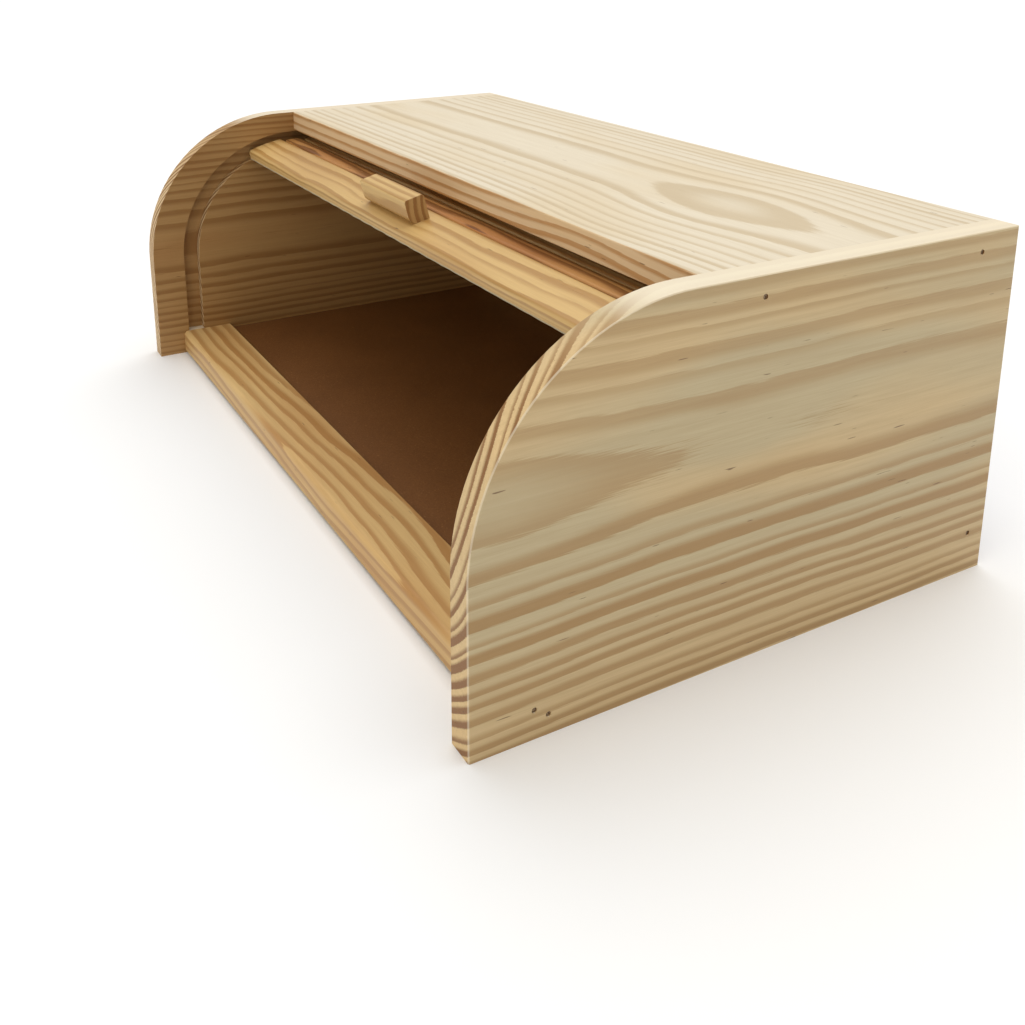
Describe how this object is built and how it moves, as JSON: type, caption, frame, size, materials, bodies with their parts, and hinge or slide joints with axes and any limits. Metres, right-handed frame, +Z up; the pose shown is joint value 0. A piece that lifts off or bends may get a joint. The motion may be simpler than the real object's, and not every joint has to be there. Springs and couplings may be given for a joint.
{
  "type": "bread box with roll top",
  "caption": "Pine countertop bread box: quarter-round grooved side panels, fixed top board and low front rail, closed by a slatted tambour curtain that rolls back under the top, pulled by a small wooden block",
  "frame": {"origin": "middle of the footprint, on the surface the box stands on", "axes": "+X along the long side to the right as seen from the open front, +Y to the rear, +Z up"},
  "size_m": [0.454, 0.264, 0.16],
  "materials": {
    "pine_sides": "satin",
    "pine_top": "satin",
    "pine_rails": "satin",
    "pine_lead_slat": "satin",
    "pine_slats": "satin",
    "pine_pull": "satin",
    "hardboard": "matte",
    "backing_cloth": "matte",
    "nail_steel": "dull",
    "screw_steel": "satin"
  },
  "bodies": {
    "case": {"right_side_panel": "pine_sides", "left_side_panel": "pine_sides", "top_panel": "pine_top", "back_panel": "hardboard", "floor_panel": "hardboard", "front_rail": "pine_rails", "rear_rail": "pine_rails", "top_nails": "nail_steel", "front_rail_nails": "nail_steel", "rear_rail_nails": "nail_steel", "back_nails": "nail_steel"},
    "lead_slat": {"lead_slat": "pine_lead_slat", "lead_slat_cloth": "backing_cloth", "pull": "pine_pull", "pull_screws": "screw_steel"},
    "slat_01": {"slat_01": "pine_slats", "slat_01_cloth": "backing_cloth"},
    "slat_02": {"slat_02": "pine_slats", "slat_02_cloth": "backing_cloth"},
    "slat_03": {"slat_03": "pine_slats", "slat_03_cloth": "backing_cloth"},
    "slat_04": {"slat_04": "pine_slats", "slat_04_cloth": "backing_cloth"},
    "slat_05": {"slat_05": "pine_slats", "slat_05_cloth": "backing_cloth"},
    "slat_06": {"slat_06": "pine_slats", "slat_06_cloth": "backing_cloth"},
    "slat_07": {"slat_07": "pine_slats", "slat_07_cloth": "backing_cloth"},
    "slat_08": {"slat_08": "pine_slats", "slat_08_cloth": "backing_cloth"},
    "slat_09": {"slat_09": "pine_slats", "slat_09_cloth": "backing_cloth"},
    "slat_10": {"slat_10": "pine_slats", "slat_10_cloth": "backing_cloth"},
    "slat_11": {"slat_11": "pine_slats", "slat_11_cloth": "backing_cloth"},
    "slat_12": {"slat_12": "pine_slats", "slat_12_cloth": "backing_cloth"}
  },
  "joints": [
    {"name": "lead_slat_roll", "type": "hinge", "parent": "case", "child": "lead_slat", "pos_m": [0, -0.00972, 0.04747], "axis": [1, 0, 0], "range_deg": [0, 76.63]},
    {"name": "slat_01_roll", "type": "hinge", "parent": "case", "child": "slat_01", "pos_m": [0, -0.02607, 0.05688], "axis": [1, 0, 0], "range_deg": [0, 92.25]},
    {"name": "slat_02_roll", "type": "hinge", "parent": "case", "child": "slat_02", "pos_m": [0, -0.0253, 0.05658], "axis": [1, 0, 0], "range_deg": [0, 91.5]},
    {"name": "slat_03_roll", "type": "hinge", "parent": "case", "child": "slat_03", "pos_m": [0, -0.02078, 0.04951], "axis": [1, 0, 0], "range_deg": [0, 83.73]},
    {"name": "slat_04_roll", "type": "hinge", "parent": "case", "child": "slat_04", "pos_m": [0, -0.01465, 0.03704], "axis": [1, 0, 0], "range_deg": [0, 73.23]},
    {"name": "slat_05_roll", "type": "hinge", "parent": "case", "child": "slat_05", "pos_m": [0, -0.0076, 0.01778], "axis": [1, 0, 0], "range_deg": [0, 61.64]},
    {"name": "slat_06_roll", "type": "hinge", "parent": "case", "child": "slat_06", "pos_m": [0, 0.00064, -0.01988], "axis": [1, 0, 0], "range_deg": [0, 47.49]},
    {"name": "slat_07_roll", "type": "hinge", "parent": "case", "child": "slat_07", "pos_m": [0, 0.00869, -0.06834], "axis": [1, 0, 0], "range_deg": [0, 36.59]},
    {"name": "slat_08_roll", "type": "hinge", "parent": "case", "child": "slat_08", "pos_m": [0, 0.01514, -0.14027], "axis": [1, 0, 0], "range_deg": [0, 27.39]},
    {"name": "slat_09_roll", "type": "hinge", "parent": "case", "child": "slat_09", "pos_m": [0, 0.01715, -0.27609], "axis": [1, 0, 0], "range_deg": [0, 18.61]},
    {"name": "slat_10_roll", "type": "hinge", "parent": "case", "child": "slat_10", "pos_m": [0, 0.01319, -0.78592], "axis": [1, 0, 0], "range_deg": [0, 8.42]},
    {"name": "slat_11_slide", "type": "slide", "parent": "case", "child": "slat_11", "axis": [0, -1, 0], "range_m": [0, 0.1363]},
    {"name": "slat_12_slide", "type": "slide", "parent": "case", "child": "slat_12", "axis": [0, -1, 0], "range_m": [0, 0.1363]}
  ],
  "couplings": [
    {"joint": "slat_01_roll", "follows": "lead_slat_roll", "ratio": 1.2037},
    {"joint": "slat_02_roll", "follows": "lead_slat_roll", "ratio": 1.1939},
    {"joint": "slat_03_roll", "follows": "lead_slat_roll", "ratio": 1.0925},
    {"joint": "slat_04_roll", "follows": "lead_slat_roll", "ratio": 0.95541},
    {"joint": "slat_05_roll", "follows": "lead_slat_roll", "ratio": 0.80428},
    {"joint": "slat_06_roll", "follows": "lead_slat_roll", "ratio": 0.61957},
    {"joint": "slat_07_roll", "follows": "lead_slat_roll", "ratio": 0.47738},
    {"joint": "slat_08_roll", "follows": "lead_slat_roll", "ratio": 0.35728},
    {"joint": "slat_09_roll", "follows": "lead_slat_roll", "ratio": 0.24276},
    {"joint": "slat_10_roll", "follows": "lead_slat_roll", "ratio": 0.10977},
    {"joint": "slat_11_slide", "follows": "lead_slat_roll", "m_per_rad": 0.10183},
    {"joint": "slat_12_slide", "follows": "lead_slat_roll", "m_per_rad": 0.10183}
  ]
}
